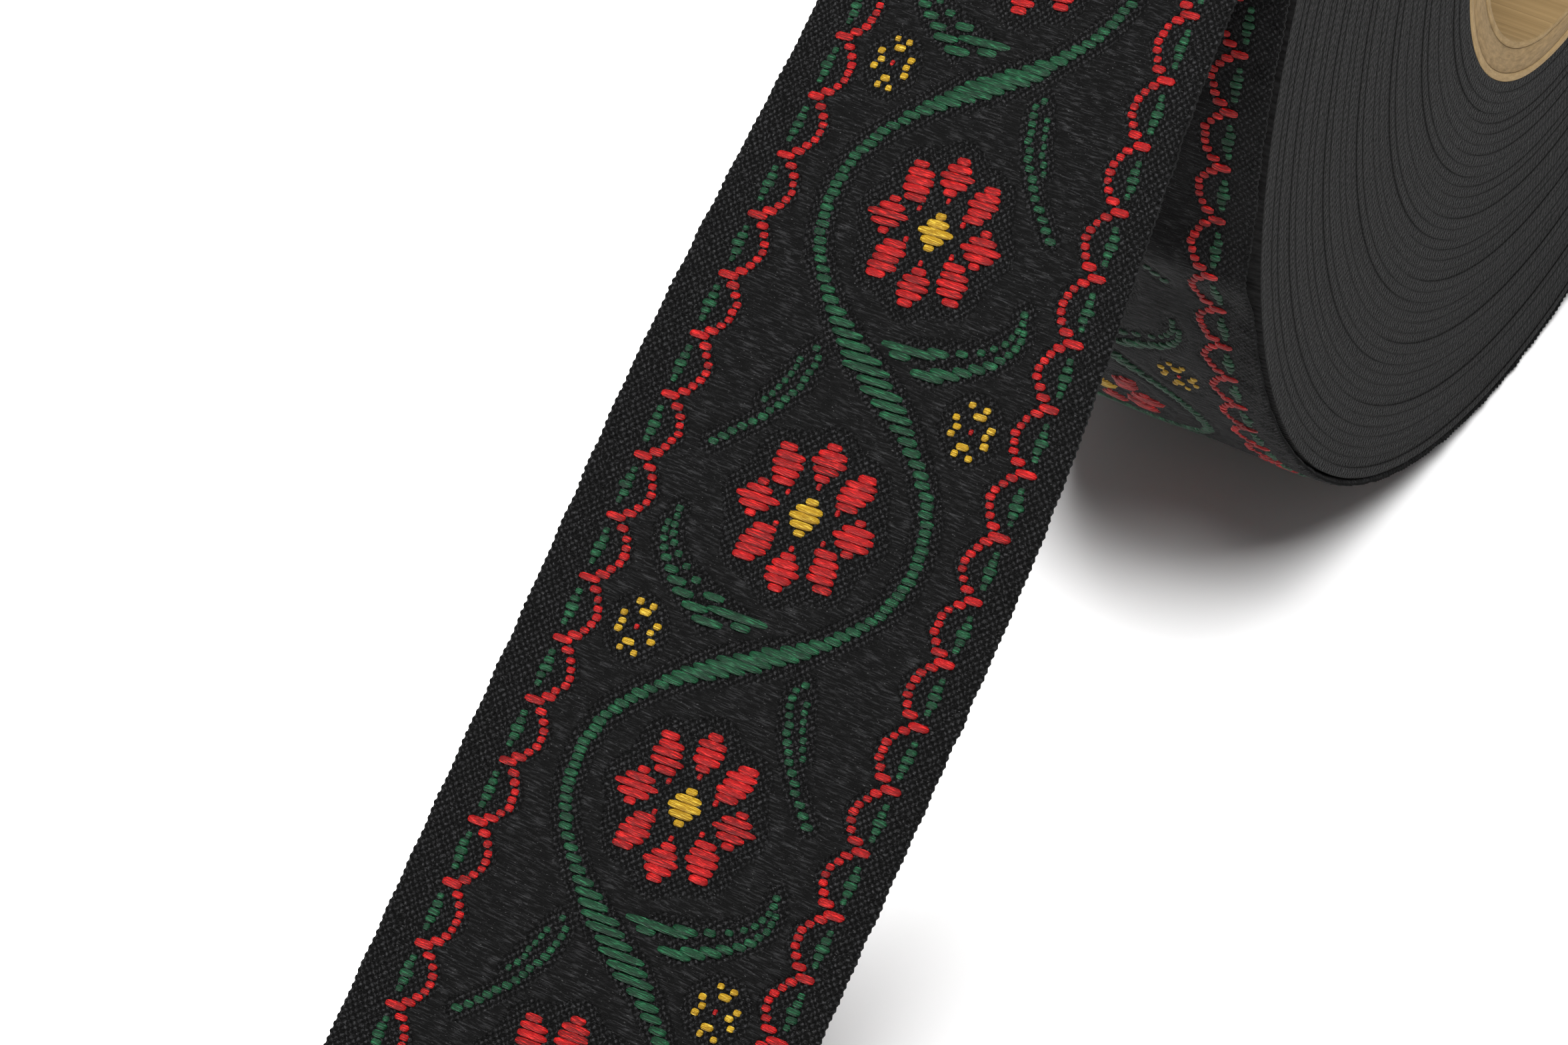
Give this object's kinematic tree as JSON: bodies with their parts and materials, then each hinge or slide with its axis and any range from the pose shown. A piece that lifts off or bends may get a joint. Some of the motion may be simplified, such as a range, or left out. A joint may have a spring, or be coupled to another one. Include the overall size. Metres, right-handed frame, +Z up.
{
  "type": "roll of woven strap ribbon",
  "caption": "Roll of jacquard-woven strap ribbon with floral pattern, wound on a cardboard core, its loose tail drawn off over the front and resting on the table.",
  "frame": {"origin": "centre of the cardboard core's bore", "axes": "+Y along the bore, away from the viewer; +Z up; the free tail leaves towards -X"},
  "size_m": [0.2808, 0.0365, 0.1181],
  "materials": {
    "cardboard": "matte kraft cardboard",
    "paper_tape": "matte masking tape",
    "black_cloth": "black polyester, satin weave with plain-weave edges",
    "red_yarn": "glossy red polyester yarn",
    "green_yarn": "glossy green polyester yarn",
    "yellow_yarn": "glossy yellow polyester yarn"
  },
  "bodies": {
    "outer_turn": {"outer_turn_cloth": "black_cloth"},
    "coil": {"core_inner_ply": "cardboard", "core_middle_ply": "cardboard", "core_outer_ply": "cardboard", "start_tape": "paper_tape", "wound_coil": "black_cloth"},
    "tail_upper": {"tail_upper_cloth": "black_cloth", "tail_upper_red_weft": "red_yarn", "tail_upper_green_weft": "green_yarn", "tail_upper_yellow_weft": "yellow_yarn"},
    "tail_middle": {"tail_middle_cloth": "black_cloth", "tail_middle_red_weft": "red_yarn", "tail_middle_green_weft": "green_yarn", "tail_middle_yellow_weft": "yellow_yarn"},
    "tail_end": {"tail_end_cloth": "black_cloth", "tail_end_red_weft": "red_yarn", "tail_end_green_weft": "green_yarn", "tail_end_yellow_weft": "yellow_yarn"}
  },
  "joints": [
    {"name": "unwind", "type": "hinge", "parent": "outer_turn", "child": "coil", "pos_m": [0, 0, 0], "axis": [0, 1, 0], "continuous": true},
    {"name": "tail_flex_upper", "type": "hinge", "parent": "outer_turn", "child": "tail_upper", "pos_m": [-0.05512, -0.0015, 0.02903], "axis": [0.0958, 0.9903, -0.101], "range_deg": [0, 30]},
    {"name": "tail_flex_middle", "type": "hinge", "parent": "tail_upper", "child": "tail_middle", "pos_m": [-0.09517, -0.0015, -0.00867], "axis": [0.0023, 1, -0.0025], "range_deg": [0, 35]},
    {"name": "tail_flex_end", "type": "hinge", "parent": "tail_middle", "child": "tail_end", "pos_m": [-0.13595, -0.0015, -0.04251], "axis": [0, 1, 0], "range_deg": [0, 45]}
  ]
}
